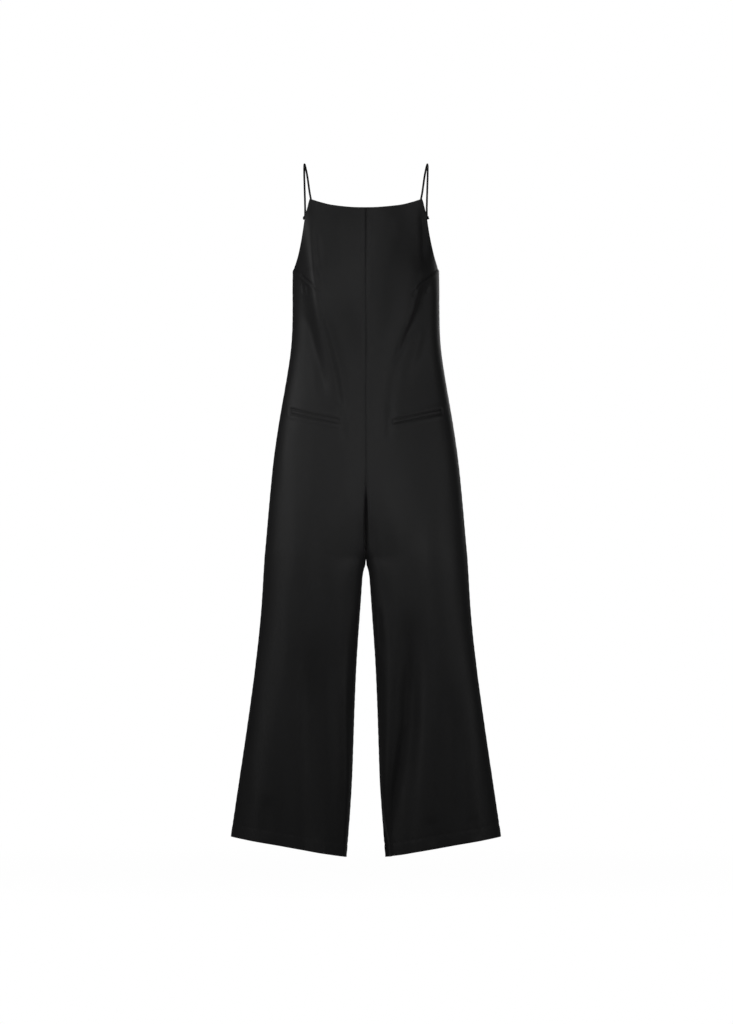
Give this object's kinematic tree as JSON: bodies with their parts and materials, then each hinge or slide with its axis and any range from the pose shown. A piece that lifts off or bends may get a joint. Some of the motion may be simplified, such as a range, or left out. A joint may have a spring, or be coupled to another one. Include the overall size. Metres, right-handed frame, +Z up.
{
  "type": "jumpsuit",
  "caption": "A black sleeveless wide-leg jumpsuit with thin rolled shoulder straps, a straight neckline, bust darts and slanted hip welt pockets",
  "frame": {"origin": "midway between the two shoulders, level with the underside of the straps where they cross the shoulders", "axes": "+Z up; the front faces -Y; +X is the wearer's left"},
  "size_m": [0.5954, 0.2014, 1.5264],
  "materials": {
    "crepe": "matt woven crepe with a faint sheen",
    "strap_cloth": "the same crepe rolled into a tight cord",
    "coated_metal": "black coated zip slider and pull tab"
  },
  "bodies": {
    "garment": {"front_left": "crepe", "front_right": "crepe", "back_left": "crepe", "back_right": "crepe", "pocket_welt_left": "crepe", "pocket_welt_right": "crepe", "strap_left": "strap_cloth", "strap_right": "strap_cloth", "strap_knot_left": "strap_cloth", "strap_knot_right": "strap_cloth", "zip_slider": "coated_metal"},
    "tab": {"zip_tab": "coated_metal"}
  },
  "joints": [
    {"name": "zip_tab_hinge", "type": "hinge", "parent": "garment", "child": "tab", "pos_m": [0, 0.07356, -0.159], "axis": [1, 0, 0], "range_deg": [0, 150]}
  ]
}
